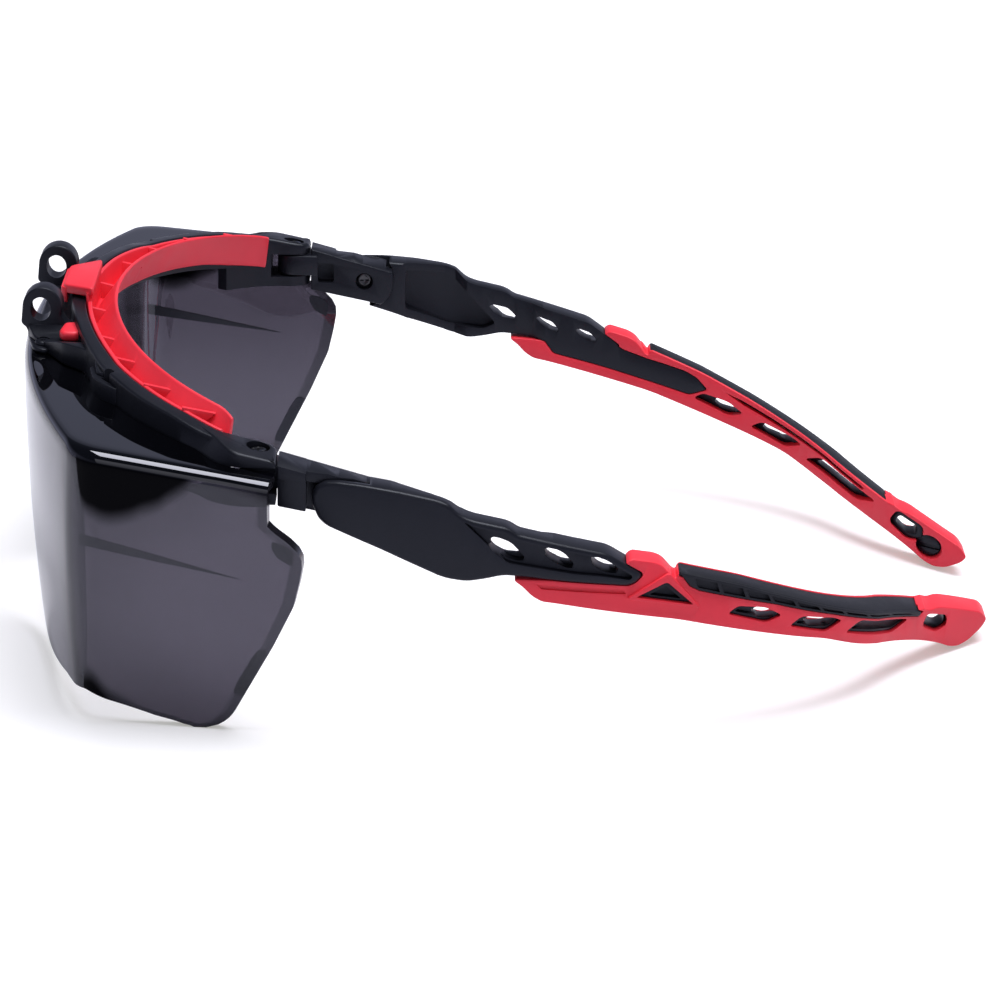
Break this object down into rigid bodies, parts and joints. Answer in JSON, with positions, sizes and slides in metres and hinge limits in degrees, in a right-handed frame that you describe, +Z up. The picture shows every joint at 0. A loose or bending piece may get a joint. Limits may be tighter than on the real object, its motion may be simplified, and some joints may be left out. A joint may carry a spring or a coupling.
{
  "type": "safety overglasses",
  "caption": "Safety overglasses with a smoked wraparound shield, a padded brow bar with eyed lugs, and folding, tilting side arms with soft sleeves.",
  "frame": {"origin": "on the floor under the middle of the part's length and width, arms open", "axes": "+X towards the wearer's left, -Y the way the wearer looks, +Z up; the part rests on the lens's two lower corners and the arm tips"},
  "size_m": [0.1556, 0.1774, 0.0627],
  "materials": {
    "smoke": "polished, see-through",
    "black_nylon": "fine satin",
    "red_rubber": "satin",
    "black_rubber": "matte",
    "dark_steel": "satin"
  },
  "bodies": {
    "frame": {"lens": "smoke", "brow_bar": "black_nylon", "brow_pad": "red_rubber", "lens_stud_left": "black_nylon", "lens_stud_right": "black_nylon", "fold_screw_left": "dark_steel", "fold_screw_right": "dark_steel"},
    "link_left": {"hinge_link_left": "black_nylon", "tilt_screw_left": "dark_steel"},
    "temple_left": {"temple_core_left": "black_nylon", "temple_sleeve_left": "red_rubber", "temple_grip_left": "black_rubber"},
    "link_right": {"hinge_link_right": "black_nylon", "tilt_screw_right": "dark_steel"},
    "temple_right": {"temple_core_right": "black_nylon", "temple_sleeve_right": "red_rubber", "temple_grip_right": "black_rubber"}
  },
  "joints": [
    {"name": "fold_left", "type": "hinge", "parent": "frame", "child": "link_left", "pos_m": [0.0663, -0.043, 0.0465], "axis": [0, 0, 1], "range_deg": [0, 65]},
    {"name": "tilt_left", "type": "hinge", "parent": "link_left", "child": "temple_left", "pos_m": [0.0693, -0.0288, 0.04234], "axis": [1, 0, 0], "range_deg": [-6, 6]},
    {"name": "fold_right", "type": "hinge", "parent": "frame", "child": "link_right", "pos_m": [-0.0663, -0.043, 0.0465], "axis": [0, 0, -1], "range_deg": [0, 45]},
    {"name": "tilt_right", "type": "hinge", "parent": "link_right", "child": "temple_right", "pos_m": [-0.0693, -0.0288, 0.04234], "axis": [1, 0, 0], "range_deg": [-6, 6]}
  ]
}
